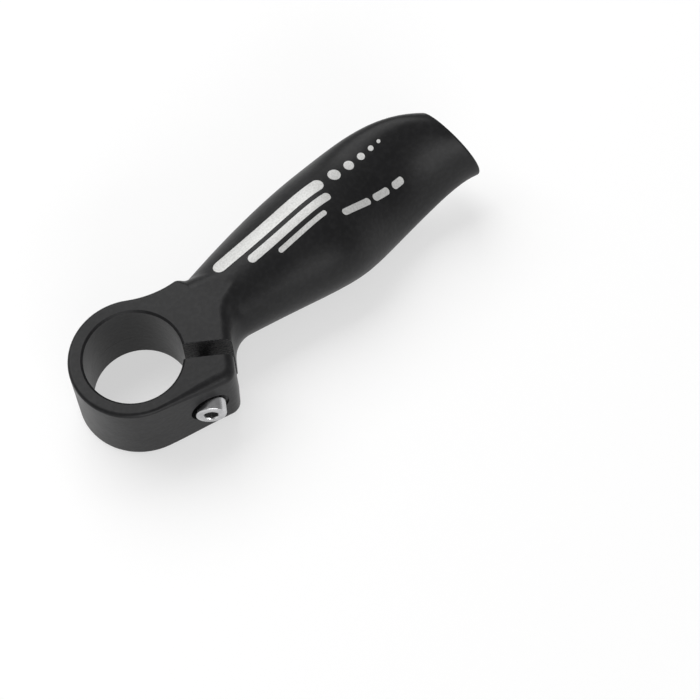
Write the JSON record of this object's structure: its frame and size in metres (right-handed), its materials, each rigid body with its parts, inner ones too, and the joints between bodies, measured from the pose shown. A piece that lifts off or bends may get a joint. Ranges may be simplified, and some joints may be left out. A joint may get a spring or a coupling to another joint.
{
  "type": "bicycle bar end",
  "caption": "Right-hand bar end: split clamp with a socket head bolt on a hollow twisted grip, plugged at its tip; clamps on a flat handlebar's end for a second hand position.",
  "frame": {"origin": "centre of the handlebar bore, half way along the bore", "axes": "+Z along the bore to the printed outer face, +X out along the grip, -Y towards the clamp bolt"},
  "size_m": [0.1077, 0.0348, 0.025],
  "materials": {
    "body_paint": "satin black paint on a cast body",
    "bolt_plating": "bright plated steel",
    "plug_plastic": "matte black moulded plastic"
  },
  "bodies": {
    "bar_end": {"bar_end_body": "body_paint", "end_plug": "plug_plastic"},
    "bolt": {"clamp_bolt": "bolt_plating"}
  },
  "joints": [
    {"name": "bolt_turn", "type": "hinge", "parent": "bar_end", "child": "bolt", "pos_m": [0.01254, -0.00894, 0], "axis": [-0.5807, -0.8141, 0], "range_deg": [0, 1800]}
  ]
}
